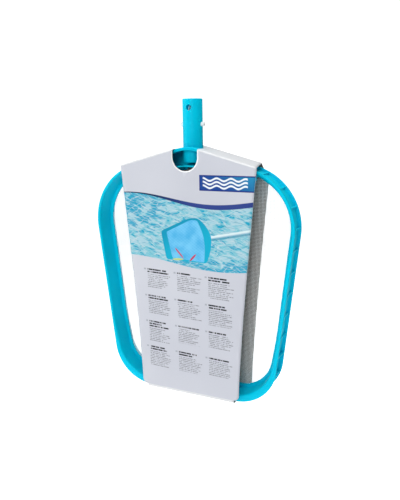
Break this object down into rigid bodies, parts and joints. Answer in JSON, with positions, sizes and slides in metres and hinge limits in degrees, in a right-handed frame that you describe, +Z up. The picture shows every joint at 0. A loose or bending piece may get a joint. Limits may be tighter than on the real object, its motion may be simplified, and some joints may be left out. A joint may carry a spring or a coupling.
{
  "type": "leaf skimmer net",
  "caption": "Rounded plastic hoop with a fine net and a tubular handle with side snap buttons, in a folded retail card.",
  "frame": {"origin": "centre of the handle's open end, where the pole meets it", "axes": "+Z up along the handle, out of its open end; the net's front, where leaves go in, faces -Y; the part is symmetric in X"},
  "size_m": [0.2864, 0.0488, 0.4042],
  "materials": {
    "frame_plastic": "satin moulded",
    "clip_plastic": "natural",
    "netting": "fine woven mesh",
    "retail_card": "printed, uncoated grey inside"
  },
  "bodies": {
    "root": {"handle_tube": "frame_plastic", "frame_top_bar": "frame_plastic", "frame_left_limb": "frame_plastic", "frame_right_limb": "frame_plastic", "frame_bottom_bar": "frame_plastic", "net": "netting", "clip_bow": "clip_plastic", "card_front_panel": "retail_card", "card_back_panel": "retail_card", "card_top_fold": "retail_card", "card_bottom_fold": "retail_card"},
    "button_left": {"snap_button_left": "clip_plastic"},
    "button_right": {"snap_button_right": "clip_plastic"}
  },
  "joints": [
    {"name": "button_left_press", "type": "slide", "parent": "root", "child": "button_left", "axis": [1, 0, 0], "range_m": [0, 0.0043], "stiffness_N_per_m": 2200, "springref_m": -0.0006, "deforming": ["clip_bow"]},
    {"name": "button_right_press", "type": "slide", "parent": "root", "child": "button_right", "axis": [-1, 0, 0], "range_m": [0, 0.0043], "stiffness_N_per_m": 2200, "springref_m": -0.0006, "deforming": ["clip_bow"]}
  ]
}
